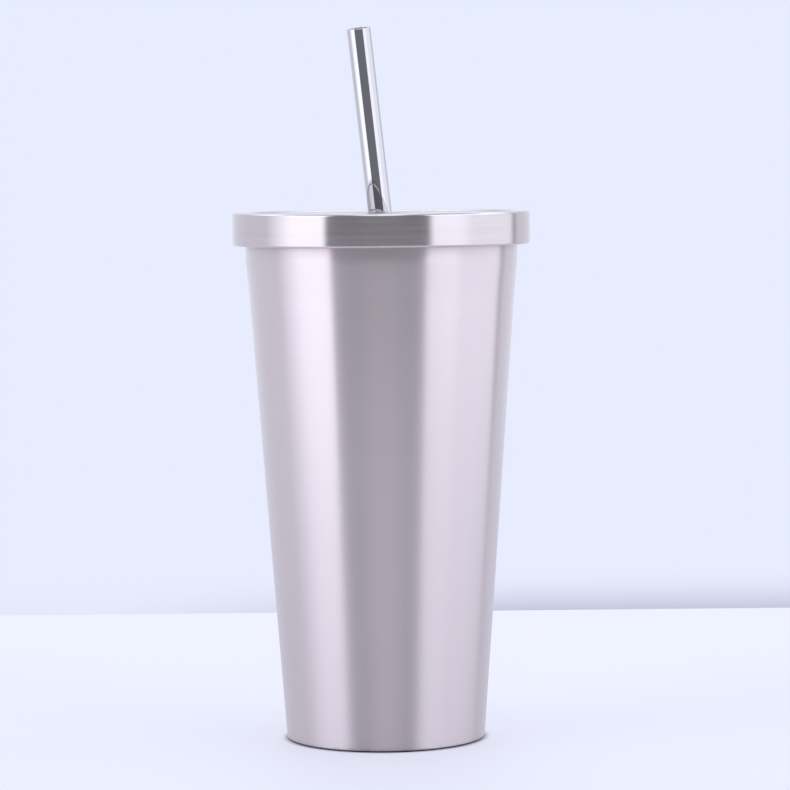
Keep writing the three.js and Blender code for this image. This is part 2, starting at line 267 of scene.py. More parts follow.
def bent(corners):
    """Rounds the corners of a path. Each corner is (radius, height, bend). The bend's centre lies on
    the corner's bisector at bend / sin(half angle), and its points turn about that centre."""
    path = []
    last = len(corners) - 1
    for i, corner in enumerate(corners):
        here = np.array(corner[:2], float)
        bend = corner[2] if len(corner) > 2 and 0 < i < last else 0.0
        if not bend:
            path.append(here[None])
            continue
        back = np.array(corners[i - 1][:2], float) - here
        ahead = np.array(corners[i + 1][:2], float) - here
        back /= np.linalg.norm(back)
        ahead /= np.linalg.norm(ahead)
        half = math.acos(np.clip(back @ ahead, -1, 1)) / 2
        middle = (back + ahead) / np.linalg.norm(back + ahead)
        centre = here + middle * bend / math.sin(half)
        spoke = here + back * bend / math.tan(half) - centre
        side = np.sign(back[0] * ahead[1] - back[1] * ahead[0])
        turn = math.pi - 2 * half
        turns = np.linspace(0.0, -turn * side, max(5, round(turn / BEND_STEP) + 1))
        cos, sin = np.cos(turns), np.sin(turns)
        arc = np.stack([spoke[0] * cos - spoke[1] * sin, spoke[0] * sin + spoke[1] * cos], 1)
        path.append(centre + arc)
    return np.concatenate(path)


def beside(path, thickness):
    """The path moved sideways: each point goes along the mitre of its two neighbouring normals."""
    run = np.diff(path, axis=0)
    normal = np.stack([run[:, 1], -run[:, 0]], 1) / np.linalg.norm(run, axis=1)[:, None]
    into = np.concatenate([normal[:1], normal])
    out = np.concatenate([normal, normal[-1:]])
    mitre = into + out
    mitre /= np.linalg.norm(mitre, axis=1)[:, None]
    return path + mitre * (thickness / np.sum(mitre * out, 1))[:, None]


def sheet(corners, thickness, edge=0.12):
    """The closed outline of bent sheet metal: one face, then the other face back again. Free ends
    lose their sharp corner by a bevel of the given width."""
    path = bent(corners)
    first = path
    second = beside(path, thickness)
    if path[-1, 0] == 0:
        second[-1, 0] = 0.0
        return np.concatenate([second[::-1], first])
    for end, inner in ((0, 1), (-1, -2)):
        across = second[end] - first[end]
        across /= np.linalg.norm(across)
        along = first[inner] - first[end]
        along /= np.linalg.norm(along)
        step = edge * along
        tips = [first[end] + edge * across, second[end] - edge * across]
        if end == 0:
            first = np.concatenate([[tips[0]], [first[0] + step], first[1:]])
            second = np.concatenate([[tips[1]], [second[0] + step], second[1:]])
        else:
            first = np.concatenate([first[:-1], [first[-1] + step], [tips[0]]])
            second = np.concatenate([second[:-1], [second[-1] + step], [tips[1]]])
    return np.concatenate([first, second[::-1]])


print("a right-angled bend has", round(math.pi / 2 / BEND_STEP) + 1, "points")

# %% Turning an outline into a mesh
AROUND = 192  # steps round a large piece
AROUND_SMALL = 96
SHARP = math.radians(35.0)


def mesh_from_grid(name, grid, closed_profile, lengths):
    """A mesh from a grid of points, rows along the outline and columns round the piece. Columns
    always close on themselves; rows close too on a closed outline, and an open outline ends in
    one point at each pole. The UV map holds the turn and the length along the outline."""
    rows, columns = grid.shape[:2]
    row = np.arange(rows if closed_profile else rows - 1)
    column = np.arange(columns)
    low, left = np.meshgrid(row, column, indexing="ij")
    high, right = (low + 1) % rows, (left + 1) % columns
    below, above = low * columns, high * columns
    quads = np.stack([below + left, below + right, above + right, above + left], -1)
    turn = np.stack([left, left + 1, left + 1, left], -1) / columns
    lengths = np.append(lengths, lengths[-1] + np.linalg.norm(grid[0, 0] - grid[-1, 0]))
    along = np.stack([lengths[low], lengths[low], lengths[low + 1], lengths[low + 1]], -1)
    points = grid.reshape(-1, 3)
    a, b, c = (points[quads[..., k].ravel()] for k in (0, 1, 2))
    volume = np.sum(np.cross(a, b) * c) + np.sum(np.cross(a, c) * points[quads[..., 3].ravel()])
    if volume < 0:
        quads, turn, along = quads[..., ::-1], turn[..., ::-1], along[..., ::-1]
    mesh = bpy.data.meshes.new(name)
    mesh.from_pydata(points, [], quads.reshape(-1, 4))
    uv = mesh.uv_layers.new(name="turn_and_length")
    uv.data.foreach_set("uv", np.stack([turn, along], -1).ravel())
    return mesh


def finish_mesh(mesh):
    """Closes the poles, smooths the faces and keeps real edges sharp; gives the object."""
    work = bmesh.new()
    work.from_mesh(mesh)
    bmesh.ops.remove_doubles(work, verts=work.verts, dist=1e-7)
    bmesh.ops.dissolve_degenerate(work, edges=work.edges, dist=1e-8)
    work.to_mesh(mesh)
    work.free()
    mesh.shade_smooth()
    mesh.set_sharp_from_angle(angle=SHARP)
    piece = bpy.data.objects.new(mesh.name, mesh)
    bpy.context.scene.collection.objects.link(piece)
    return piece


def turned(name, outline, around=AROUND):
    """A surface of revolution: the point at outline place i and turn a is
    (r_i cos a, r_i sin a, z_i), in metres from an outline in millimetres."""
    outline = np.asarray(outline, float)
    angle = np.linspace(0.0, 2.0 * math.pi, around, endpoint=False)
    radius, height = outline[:, :1], outline[:, 1:2]
    grid = np.stack([radius * np.cos(angle), radius * np.sin(angle), height + 0 * angle], -1) * MM
    lengths = np.append(0.0, np.cumsum(np.linalg.norm(np.diff(outline, axis=0), axis=1))) * MM
    mesh = mesh_from_grid(name, grid, outline[0, 0] > 0, lengths)
    return finish_mesh(mesh)


def join_frame(piece, body, node):
    """Hangs a piece on the empty of the body it moves with, hides the solid it stands for, and
    prints how far its box lies from that solid's box."""
    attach(piece, body)
    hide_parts(node)
    low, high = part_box(node)
    corners = np.empty(3 * len(piece.data.vertices))
    piece.data.vertices.foreach_get("co", corners)
    corners = corners.reshape(-1, 3)
    gap = max(np.abs(corners.min(0) - low).max(), np.abs(corners.max(0) - high).max())
    print(f"{piece.name}: {len(piece.data.polygons)} faces, box within {1000 * gap:.2f} mm")
    return piece


# %% [markdown]
# ## Sizes
#
# The drawing's main sizes, in millimetres. The outer wall is a cone that swells into an upright neck
# under the lid, and the other walls keep their distance from it.

# %% Sizes of the cup
SHEET = 0.5  # steel sheet
SEAM = 0.1  # between pieces that touch
BASE_RADIUS = 33.65  # where the cone would meet the table
MOUTH_RADIUS = 45.9
CUP_HEIGHT = 174.9
BASE_CORNER = 1.0
RING_INNER = BASE_RADIUS - 3.4  # inside of the standing ring
INNER_FLOOR = 10.5
NECK_FOOT = CUP_HEIGHT - 12.0  # the neck is upright above this
CONE_TOP = NECK_FOOT - 11.0  # the wall swells from the cone to the neck above this
CONE_TOP_RADIUS = MOUTH_RADIUS - 1.1
NECK_RADIUS = MOUTH_RADIUS - 2 * SHEET - SEAM  # inside of the neck
LIP_BEND = 0.53
LIP_FOLD = 1.6
PLATE_UNDER = CUP_HEIGHT + SEAM  # underside of the plug's plate
PLATE_TOP = PLATE_UNDER + 2.6
LID_FLOOR = PLATE_TOP + SEAM + SHEET
LID_RIM = LID_FLOOR + 0.5
BAND_FOOT = LID_RIM - 11.0
LID_RADIUS = 50.3
SEAT_TOP = LID_FLOOR - 0.6
SEAT_RADIUS = 9.4
HOLE_RADIUS = 6.2


def outer_wall(height):
    """Radius of the outer wall: upright in the neck, then a short swell, then a cone."""
    return float(
        np.interp(height, [0.0, CONE_TOP, NECK_FOOT], [BASE_RADIUS, CONE_TOP_RADIUS, MOUTH_RADIUS])
    )


def liner_wall(height):
    """Inside radius of the liner below the neck, past the insulating space."""
    return outer_wall(height) - 2 * SHEET - 2.0


print("wall slope:", round(math.degrees(math.atan(outer_wall(1) - outer_wall(0))), 2), "degrees")

# %% [markdown]
# ## Brushed steel
#
# The shell and the lid are brushed on a lathe: the part turns while a belt rests on it, so every
# scratch runs round the axis. Two things make that look. Each scratch spreads light across itself,
# never along itself, so reflections smear up and down but keep sharp sides: that is the shader's
# anisotropy, turned a quarter. And the scratches themselves show as fine streaks of uneven
# brightness, made here from noise that is stretched round the axis. The pattern's second direction
# is height minus radius, so it runs on over the lid's edge from the band to the top.

# %% Brushed steel shader
def new_material(name, colour):
    """An empty material and the wire that builds it; colour is for solid view."""
    material = bpy.data.materials.new(name)
    material.use_nodes = True
    material.node_tree.nodes.clear()
    material.diffuse_color = colour
    return material, Wire(material.node_tree)


def place_on(wire):
    """The x, y, z of a point, its distance from the axis and its place across the brushing."""
    place = wire.node("ShaderNodeTexCoord", out="Object")
    x, y, z = (wire.node("ShaderNodeSeparateXYZ", None, {0: place}, out=axis) for axis in "XYZ")
    radius = (x * x + y * y) ** 0.5
    return place, x, y, z, radius


def streaks(wire, x, y, across, per_metre, length=30.0, detail=2.0):
    """Noise that is long round the axis and short across it, about 0 to 1."""
    vector = wire.node(
        "ShaderNodeCombineXYZ", None, {0: x * length, 1: y * length, 2: across * per_metre}
    )
    return wire.node(
        "ShaderNodeTexNoise",
        None,
        {"Vector": vector, "Scale": 1.0, "Detail": detail, "Roughness": 0.6},
        out=0,
    )


def clouds(wire, place, scale, detail=3.0):
    """Soft even noise in space, for handling marks and patches."""
    return wire.node(
        "ShaderNodeTexNoise", None, {"Vector": place, "Scale": scale, "Detail": detail}, out=0
    )


def shade(wire, material_inputs, height=None, strength=0.2, distance=2e-5):
    """One Principled shader, with an optional bump, to the material's output."""
    if height is not None:
        bump = wire.node(
            "ShaderNodeBump", None, {"Strength": strength, "Distance": distance, "Height": height}
        )
        material_inputs = {**material_inputs, "Normal": bump}
    surface = wire.node("ShaderNodeBsdfPrincipled", None, material_inputs)
    wire.node("ShaderNodeOutputMaterial", None, {"Surface": surface})


def brushed_steel(name, tone, roughness, grain, foot_scuffs_painted_light_and_shadow=False, finer_polish_and_painted_shade_inside=None):
    """Steel brushed round the axis: streaks as strong as the grain, and handling marks. If asked
    for, the tone gets rougher towards the foot and lighter there, which is painted light and not
    wear, the foot's corner turns near-black, a painted contact shadow, and the foot is scuffed.
    Inside a radius, if given, the polish is finer and the tone darker, which is painted shade."""
    material, wire = new_material(name, tone)
    place, x, y, z, radius = place_on(wire)
    across = z - radius
    fine = streaks(wire, x, y, across, 3600.0, 45.0)
    broad = streaks(wire, x, y, across, 700.0, 18.0)
    hazy = clouds(wire, place, 28.0)
    dark = tuple((1.0 - 0.03 * grain) * c for c in tone[:3]) + (1.0,)
    light = tuple(min(1.0, (1.0 + 0.03 * grain) * c) for c in tone[:3]) + (1.0,)
    streaky = (fine * 0.6 + broad * 0.4).ramp(0.30, 0.70)
    colour = streaky.blend(dark, light)
    uneven = (fine - 0.5) * 0.06 * grain + (broad - 0.5) * 0.05 * grain + (hazy - 0.5) * 0.03
    rough = uneven + roughness
    if finer_polish_and_painted_shade_inside is not None:
        smooth = 1.0 - radius.ramp((finer_polish_and_painted_shade_inside - 0.4) * MM, finer_polish_and_painted_shade_inside * MM)
        rough = rough - smooth * (0.5 * roughness)
        # Painted shade: inside the radius the tone turns darker than the brushed steel, which dims the
        # top's reflection.
        polished = streaky.blend(rgb(0.47, 0.445, 0.455), rgb(0.58, 0.555, 0.565))
        colour = smooth.blend(colour, polished)
    if foot_scuffs_painted_light_and_shadow:
        # Painted light: towards the foot the tone is blended up to 12 % towards a pale pink; the
        # roughness that rises with it is the finish.
        low = 1.0 - z.ramp(0.0, 0.165)
        rough = rough + low * 0.13
        colour = (low * 0.12).blend(colour, rgb(0.95, 0.87, 0.88))
        # Painted contact shadow: the corner's lowest 0.2 to 0.9 mm turns near-black; the scuffs just
        # above it are wear.
        corner = 1.0 - z.ramp(0.0002, 0.0009)
        scuffed = (1.0 - z.ramp(0.0006, 0.0020)) * clouds(wire, place, 900.0).ramp(0.45, 0.65)
        rough = rough + scuffed * 0.1 + corner * 0.1
        colour = (scuffed * 0.15).blend(colour, rgb(0.30, 0.29, 0.30))
        # Painted contact shadow, near-black, at the foot's corner.
        colour = corner.blend(colour, rgb(0.060, 0.055, 0.060))
    shade(
        wire,
        {
            "Base Color": colour,
            "Metallic": 1.0,
            "Roughness": rough,
            "Anisotropic": 1.0,
            "Anisotropic Rotation": 0.25,
        },
        fine * 0.7 + broad * 0.6,
        strength=0.05 * grain,
        distance=2e-5,
    )
    return material


shell_steel = brushed_steel("shell_steel", rgb(0.675, 0.600, 0.612), 0.30, 0.35, foot_scuffs_painted_light_and_shadow=True)
lid_steel = brushed_steel(
    "lid_steel", rgb(0.610, 0.550, 0.560), 0.20, 1.0, finer_polish_and_painted_shade_inside=LID_RADIUS - 0.7
)

# %% [markdown]
# ## The outer shell
#
# The shell is one drawn sheet. At the bottom it turns in round a 1 mm corner to a flat ring that the
# cup stands on, and ends in a short flange. At the top it stops under the folded lip of the liner.

# %% Make the outer shell
shell_top = CUP_HEIGHT - LIP_FOLD - SEAM
outer_shell = turned(
    "outer_shell_skin",
    sheet(
        [
            (MOUTH_RADIUS, shell_top),
            (MOUTH_RADIUS, NECK_FOOT, 30.0),
            (CONE_TOP_RADIUS, CONE_TOP, 60.0),
            (BASE_RADIUS, 0.0, BASE_CORNER),
            (RING_INNER, 0.0, BASE_CORNER),
            (RING_INNER, 1.6),
        ],
        SHEET,
    ),
)
outer_shell.data.materials.append(shell_steel)
join_frame(outer_shell, "cup", "outer_shell")

# %% [markdown]
# ## The liner
#
# The inner cup is drawn deeper and thinner than the shell. Below the neck it steps in to leave the
# insulating space, and at the top it folds outwards and down over the shell as the drinking lip. Its
# inside isn't brushed: it has the soft satin of electropolished steel, with faint upright draw marks.

# %% Satin steel
def satin_steel(name, tone, roughness, draw_marks=True):
    """Soft satin steel: draw marks if asked for, faint rings, and cloudy electropolishing."""
    material, wire = new_material(name, tone)
    place, x, y, z, radius = place_on(wire)
    drawn = wire.node("ShaderNodeCombineXYZ", None, {0: x * 900.0, 1: y * 900.0, 2: z * 12.0})
    marks = wire.node("ShaderNodeTexNoise", None, {"Vector": drawn, "Scale": 1.0, "Detail": 3.0}, out=0)
    rings = streaks(wire, x, y, radius + z, 1500.0, 8.0)
    hazy = clouds(wire, place, 60.0)
    pattern = marks * 0.5 + rings * 0.5 if draw_marks else rings
    colour = pattern.ramp(0.3, 0.7).blend(
        tuple(0.95 * c for c in tone[:3]) + (1.0,), tuple(min(1.0, 1.03 * c) for c in tone[:3]) + (1.0,)
    )
    rough = roughness + (pattern - 0.5) * 0.12 + (hazy - 0.5) * 0.1
    shade(
        wire,
        {"Base Color": colour, "Metallic": 1.0, "Roughness": rough, "Anisotropic": 0.35},
        pattern + hazy * 0.6,
        strength=0.15,
        distance=2e-5,
    )
    return material


liner_steel = satin_steel("liner_steel", rgb(0.80, 0.785, 0.81), 0.38)

# %% Make the liner
shoulder_foot = NECK_FOOT - 8.0
inner_liner = turned(
    "inner_liner_skin",
    sheet(
        [
            (MOUTH_RADIUS, CUP_HEIGHT - LIP_FOLD),
            (MOUTH_RADIUS, CUP_HEIGHT, LIP_BEND),
            (NECK_RADIUS, CUP_HEIGHT, LIP_BEND),
            (NECK_RADIUS, NECK_FOOT, 3.0),
            (liner_wall(shoulder_foot), shoulder_foot, 3.0),
            (liner_wall(INNER_FLOOR), INNER_FLOOR, 3.0),
            (0.0, INNER_FLOOR),
        ],
        -SHEET,
    ),
)
inner_liner.data.materials.append(liner_steel)
join_frame(inner_liner, "cup", "inner_liner")

# %% [markdown]
# ## The base cover
#
# Under the cup a plain disc hides the vacuum seal. It sits inside the standing ring, and one shallow
# pressed step keeps it flat.

# %% Make the base cover
cover_edge = RING_INNER - SEAM - SHEET
cover_step = RING_INNER - SEAM - 9.0
base_cover = turned(
    "base_cover_disc",
    sheet(
        [
            (cover_edge, 0.4),
            (cover_edge, 1.9, SHEET),
            (cover_step, 1.9, 0.6),
            (cover_step - 0.7, 1.5, 0.6),
            (0.0, 1.5),
        ],
        SHEET,
    ),
)
cover_steel = brushed_steel("cover_steel", rgb(0.60, 0.56, 0.57), 0.34, 1.2)
base_cover.data.materials.append(cover_steel)
join_frame(base_cover, "cup", "base_cover")

# %% [markdown]
# ## The lid's steel cover
#
# The cover is spun from one sheet. From the outside in: a hem rolled under at the foot of the band,
# the upright band, a small corner, a flat raised rim, a small step down to the floor, and a pressed
# seat for the grommet in the centre.

# %% Make the lid cover
lid_cover = turned(
    "lid_cover_skin",
    sheet(
        [
            (HOLE_RADIUS, SEAT_TOP),
            (SEAT_RADIUS, SEAT_TOP, 0.6),
            (SEAT_RADIUS + 0.9, LID_FLOOR, 0.6),
            (LID_RADIUS - 6.6, LID_FLOOR, 0.7),
            (LID_RADIUS - 5.4, LID_RIM, 0.7),
            (LID_RADIUS, LID_RIM, 0.8),
            (LID_RADIUS, BAND_FOOT, 0.8),
            (LID_RADIUS - 2.0, BAND_FOOT, 0.8),
            (LID_RADIUS - 2.0, BAND_FOOT + 1.5),
        ],
        SHEET,
    ),
)
lid_cover.data.materials.append(lid_steel)
join_frame(lid_cover, "lid", "lid_cover")

# %% [markdown]
# ## The plug
#
# Under the steel the lid is white polypropylene: a plate, a skirt behind the band, a plug that goes
# into the neck, a groove for the seal, a collar round the grommet, and eight ribs. Moulded plastic
# has no perfectly sharp edge, so every corner gets a small bend. Light goes a little way into it,
# which is the shader's subsurface weight.

# %% Moulded plastic shader
def moulded_plastic(name, tone, roughness):
    """Satin moulded plastic: fine spark-eroded grain, faint flow clouds, and a little depth."""
    material, wire = new_material(name, tone)
    place, x, y, z, radius = place_on(wire)
    grain = clouds(wire, place, 4200.0, 2.0)
    flow = clouds(wire, place, 90.0)
    rings = streaks(wire, x, y, radius, 1800.0, 2.0)
    colour = flow.ramp(0.3, 0.7).blend(tuple(0.96 * c for c in tone[:3]) + (1.0,), tone)
    rough = roughness + (grain - 0.5) * 0.18 + (flow - 0.5) * 0.08
    shade(
        wire,
        {
            "Base Color": colour,
            "Roughness": rough,
            "IOR": 1.49,
            "Subsurface Weight": 0.25,
            "Subsurface Radius": (0.0015, 0.0012, 0.0010),
            "Subsurface Scale": 1.0,
        },
        grain * 0.7 + rings * 0.3,
        strength=0.25,
        distance=2e-5,
    )
    return material


white_plastic = moulded_plastic("white_plastic", rgb(0.80, 0.80, 0.79), 0.42)

# %% Make the plug
PLUG_RADIUS = NECK_RADIUS - 0.6
PLUG_FOOT = PLATE_UNDER - 11.8
GROOVE_TOP = PLATE_UNDER - 5.0
GROOVE_FOOT = GROOVE_TOP - 4.0
GROOVE_DEPTH = 1.2
BOSS_BORE = 8.4
BOSS_OUTER = BOSS_BORE + 2.0
PLUG_BORE = PLUG_RADIUS - 2.4
MOULD_BEND = 0.3

skirt = LID_RADIUS - SHEET - SEAM
skirt_foot = BAND_FOOT + 1.5 + 0.25
seat_under = SEAT_TOP - SHEET - SEAM
seat_edge = SEAT_RADIUS + SHEET + SEAM
plug_corners = [
    (HOLE_RADIUS, seat_under),
    (seat_edge, seat_under),
    (seat_edge + 0.9, PLATE_TOP),
    (skirt, PLATE_TOP, MOULD_BEND),
    (skirt, skirt_foot, MOULD_BEND),
    (skirt - 1.4, skirt_foot, MOULD_BEND),
    (skirt - 1.4, PLATE_UNDER, MOULD_BEND),
    (PLUG_RADIUS, PLATE_UNDER, MOULD_BEND),
    (PLUG_RADIUS, GROOVE_TOP, MOULD_BEND),
    (PLUG_RADIUS - GROOVE_DEPTH, GROOVE_TOP, MOULD_BEND),
    (PLUG_RADIUS - GROOVE_DEPTH, GROOVE_FOOT, MOULD_BEND),
    (PLUG_RADIUS, GROOVE_FOOT, MOULD_BEND),
    (PLUG_RADIUS, PLUG_FOOT + 1.0, MOULD_BEND),
    (PLUG_RADIUS - 1.0, PLUG_FOOT, MOULD_BEND),
    (PLUG_BORE, PLUG_FOOT, MOULD_BEND),
    (PLUG_BORE, PLATE_UNDER, MOULD_BEND),
    (BOSS_OUTER, PLATE_UNDER, MOULD_BEND),
    (BOSS_OUTER, PLATE_UNDER - 4.0, MOULD_BEND),
    (BOSS_BORE, PLATE_UNDER - 4.0, MOULD_BEND),
    (BOSS_BORE, PLATE_UNDER, MOULD_BEND),
    (HOLE_RADIUS, PLATE_UNDER),
]
lid_plug = turned("lid_plug_body", bent(plug_corners))
lid_plug.data.materials.append(white_plastic)
join_frame(lid_plug, "lid", "lid_plug")


# %% Make the ribs
RIB_COUNT = 8
RIB_WIDTH = 1.6
RIB_DEPTH = 3.0
RIB_BITE = 0.8


def ribs(name):
    """Radial ribs: a rounded section, (across, height), carried along the radius and turned to
    each rib's direction. The section's corner points go round in quarter circles."""
    corner = np.linspace(0.0, math.pi / 2, 5)
    half, bend = RIB_WIDTH / 2, 0.35
    low = PLATE_UNDER - RIB_DEPTH
    right = np.stack([half - bend + bend * np.sin(corner), low + bend - bend * np.cos(corner)], 1)
    top = [[half, PLATE_UNDER + RIB_BITE], [-half, PLATE_UNDER + RIB_BITE]]
    left = right[::-1] * [-1.0, 1.0]
    section = np.concatenate([right, top, left])
    radii = np.array([BOSS_OUTER - RIB_BITE, PLUG_BORE + RIB_BITE])
    turn = (np.arange(RIB_COUNT) + 0.5) * 2.0 * math.pi / RIB_COUNT
    r, across, a = np.meshgrid(radii, section[:, 0], turn, indexing="ij")
    height = np.broadcast_to(section[:, 1][None, :, None], r.shape)
    east, north = r * np.cos(a) - across * np.sin(a), r * np.sin(a) + across * np.cos(a)
    grid = np.stack([east, north, height], -1)
    count = len(section)
    points = grid.transpose(2, 0, 1, 3).reshape(-1, 3) * MM
    side = np.arange(count)
    wall = np.stack([side, (side + 1) % count, (side + 1) % count + count, side + count], 1)
    faces = []
    for rib in range(RIB_COUNT):
        start = rib * 2 * count
        faces += (wall + start).tolist()
        faces += [(side + start)[::-1].tolist(), (side + start + count).tolist()]
    mesh = bpy.data.meshes.new(name)
    mesh.from_pydata(points, [], faces)
    return finish_mesh(mesh)


plug_ribs = ribs("lid_plug_ribs")
plug_ribs.data.materials.append(white_plastic)
join_frame(plug_ribs, "lid", "lid_plug")

# %% [markdown]
# ## Seal and grommet
#
# Both are clear silicone, which looks milky and soft: most light passes, and all of it scatters. The
# shader's transmission gives that, with a rough surface that takes dust and a faint grain from
# the mould.

# %% Silicone shader
def silicone(name, tone):
    """Frosted silicone: rough transmission, soft grain, and a bloom of dust where noise is high."""
    material, wire = new_material(name, tone)
    place, x, y, z, radius = place_on(wire)
    grain = clouds(wire, place, 2600.0, 2.0)
    bloom = clouds(wire, place, 220.0)
    colour = bloom.ramp(0.35, 0.7).blend(tone, tuple(0.93 * c for c in tone[:3]) + (1.0,))
    shade(
        wire,
        {
            "Base Color": colour,
            "Roughness": 0.42 + (grain - 0.5) * 0.2 + (bloom - 0.5) * 0.12,
            "IOR": 1.41,
            "Transmission Weight": 0.55,
            "Subsurface Weight": 0.0,
        },
        grain,
        strength=0.2,
        distance=2e-5,
    )
    return material


clear_silicone = silicone("clear_silicone", rgb(0.86, 0.88, 0.89))

# %% Make the seal
seal_inner = PLUG_RADIUS - GROOVE_DEPTH + SEAM
seal_face = PLUG_RADIUS - SEAM
seal_foot, seal_top = GROOVE_FOOT + SEAM, GROOVE_TOP - SEAM
fin_tip = NECK_RADIUS - 0.25
fin_pitch = (seal_top - seal_foot) / 2
fin_corners = []
for fin in range(2):
    middle = seal_foot + fin_pitch * (fin + 0.5)
    fin_corners += [
        (seal_face, middle - 0.6, 0.15),
        (fin_tip, middle - 0.2, 0.12),
        (fin_tip, middle + 0.2, 0.12),
        (seal_face, middle + 0.6, 0.15),
    ]
seal_outline = bent(
    [
        (seal_inner, seal_foot),
        (seal_face, seal_foot, 0.15),
        *fin_corners,
        (seal_face, seal_top, 0.15),
        (seal_inner, seal_top),
    ]
)
lid_seal = turned("lid_seal_ring", seal_outline)
lid_seal.data.materials.append(clear_silicone)
join_frame(lid_seal, "lid", "lid_seal")

# %% [markdown]
# The grommet is turned outside, but its bore is tilted: it follows the straw. At each height the bore
# is an ellipse whose centre has moved sideways, so each row of the grid gets its own centre. Two
# small notches beside the straw let air in while someone drinks.

# %% Where the straw leans
LEAN_AZIMUTH = math.radians(49.0)  # from the axis to the straw's foot
straw_joint = next(j for j in frame["joints"] if j["name"] == "straw_slide")
straw_axis = np.array(straw_joint["axis"], float)
straw_axis /= np.linalg.norm(straw_axis)
lean = math.acos(straw_axis[2])
PIVOT = PLATE_UNDER  # the straw's axis crosses the cup's axis here
print("the straw leans", round(math.degrees(lean), 2), "degrees")

# %% Make the grommet
STRAW_RADIUS = 4.0
BORE_RADIUS = STRAW_RADIUS + 0.25
VENT_WIDTH = 1.2
VENT_DEPTH = 0.8


def bore_row(height, turn):
    """The tilted bore cut level at a height: centre + (cos t / cos lean, sin t) times the radius,
    in axes along and across the lean. The radius grows by the notch near t = a quarter turn."""
    along = np.array([math.cos(LEAN_AZIMUTH), math.sin(LEAN_AZIMUTH)])
    aside = np.array([-along[1], along[0]])
    centre = -(height - PIVOT) * math.tan(lean) * along
    from_notch = np.abs(np.cos(turn)) * BORE_RADIUS
    notch = np.clip(1.6 * (1.0 - from_notch / (VENT_WIDTH / 2)), 0.0, 1.0)
    radius = BORE_RADIUS + VENT_DEPTH * notch * notch * (3 - 2 * notch)
    far, side = radius * np.cos(turn) / math.cos(lean), radius * np.sin(turn)
    flat = centre + far[:, None] * along + side[:, None] * aside
    return np.column_stack([flat, np.full(len(turn), height)])


def make_grommet(name):
    """Outside rows are circles of the outline; inside rows are the tilted bore from top to foot."""
    flange = HOLE_RADIUS + 2.4
    waist = HOLE_RADIUS - 0.25
    barb = HOLE_RADIUS + 1.4
    barb_top = PLATE_UNDER - SEAM
    barb_foot = barb_top - 3.4
    top = SEAT_TOP + SEAM + 0.6
    outside = bent(
        [
            (HOLE_RADIUS - 0.8, barb_foot),
            (HOLE_RADIUS - 0.4, barb_foot, 0.25),
            (barb, barb_top - SHEET, 0.3),
            (barb, barb_top, 0.15),
            (waist, barb_top, 0.15),
            (waist, SEAT_TOP + SEAM, 0.15),
            (flange, SEAT_TOP + SEAM, 0.15),
            (flange - 0.1, top, 0.28),
            (HOLE_RADIUS - 0.8, top),
        ]
    )
    turn = np.linspace(0.0, 2.0 * math.pi, AROUND, endpoint=False)
    level = LEAN_AZIMUTH + turn
    rows = [
        np.column_stack([r * np.cos(level), r * np.sin(level), np.full(len(turn), z)])
        for r, z in outside
    ]
    rows += [bore_row(z, turn) for z in np.linspace(top, barb_foot, 9)]
    grid = np.stack(rows) * MM
    lengths = np.append(0.0, np.cumsum(np.linalg.norm(np.diff(grid[:, 0], axis=0), axis=1)))
    return finish_mesh(mesh_from_grid(name, grid, True, lengths))


straw_grommet = make_grommet("straw_grommet_bush")
straw_grommet.data.materials.append(clear_silicone)
join_frame(straw_grommet, "grommet", "straw_grommet")

# %% [markdown]
# ## The straw
#
# The straw is a drawn tube, cut square, tumbled to take the burr off, and polished like a mirror. It
# is made upright, then leaned. A perfect mirror looks wrong, so the polish keeps traces: hairlines
# along the tube from drawing, and a slow waviness that bends the reflected stripes a little. The UV
# map follows the tube, so those marks lean with it.

# %% Mirror-polished steel shader
def polished_steel(name, tone, roughness):
    """Mirror polish on drawn tube: hairlines along it, slow waves, and faint marks round it."""
    material, wire = new_material(name, tone)
    uv = wire.node("ShaderNodeUVMap", {"uv_map": "turn_and_length"})
    turn = wire.node("ShaderNodeSeparateXYZ", None, {0: uv}, out="X") * (2.0 * math.pi)
    length = wire.node("ShaderNodeSeparateXYZ", None, {0: uv}, out="Y")
    east, north = wire.maths("COSINE", turn), wire.maths("SINE", turn)
    drawn = wire.node("ShaderNodeCombineXYZ", None, {0: east * 60.0, 1: north * 60.0, 2: length * 14.0})
    hairs = wire.node("ShaderNodeTexNoise", None, {"Vector": drawn, "Scale": 1.0, "Detail": 2.0}, out=0)
    slow = wire.node("ShaderNodeCombineXYZ", None, {0: east * 0.8, 1: north * 0.8, 2: length * 45.0})
    waves = wire.node("ShaderNodeTexNoise", None, {"Vector": slow, "Scale": 1.0, "Detail": 1.0}, out=0)
    ringed = wire.node("ShaderNodeCombineXYZ", None, {0: east * 1.5, 1: north * 1.5, 2: length * 2500.0})
    rings = wire.node("ShaderNodeTexNoise", None, {"Vector": ringed, "Scale": 1.0, "Detail": 2.0}, out=0)
    colour = hairs.ramp(0.3, 0.7).blend(tuple(0.96 * c for c in tone[:3]) + (1.0,), tone)
    shade(
        wire,
        {
            "Base Color": colour,
            "Metallic": 1.0,
            "Roughness": roughness + (hairs - 0.5) * 0.04 + (rings - 0.5) * 0.05,
        },
        waves + hairs * 0.02 + rings * 0.02,
        strength=0.10,
        distance=1e-4,
    )
    return material


straw_steel = polished_steel("straw_steel", rgb(0.61, 0.59, 0.61), 0.05)

# %% Make the straw
STRAW_WALL = 0.5
STRAW_ABOVE = 66.1
STRAW_LENGTH = 232.0
STRAW_EDGE = 0.2


def lean_over(piece):
    """Leans an upright piece: turns it by the lean about +Y, turns that to the lean's direction
    about +Z, and lifts it to the pivot. The place goes into the mesh."""
    place = (
        Matrix.Translation((0.0, 0.0, PIVOT * MM))
        @ Matrix.Rotation(LEAN_AZIMUTH, 4, "Z")
        @ Matrix.Rotation(-lean, 4, "Y")
    )
    piece.data.transform(place)
    return piece


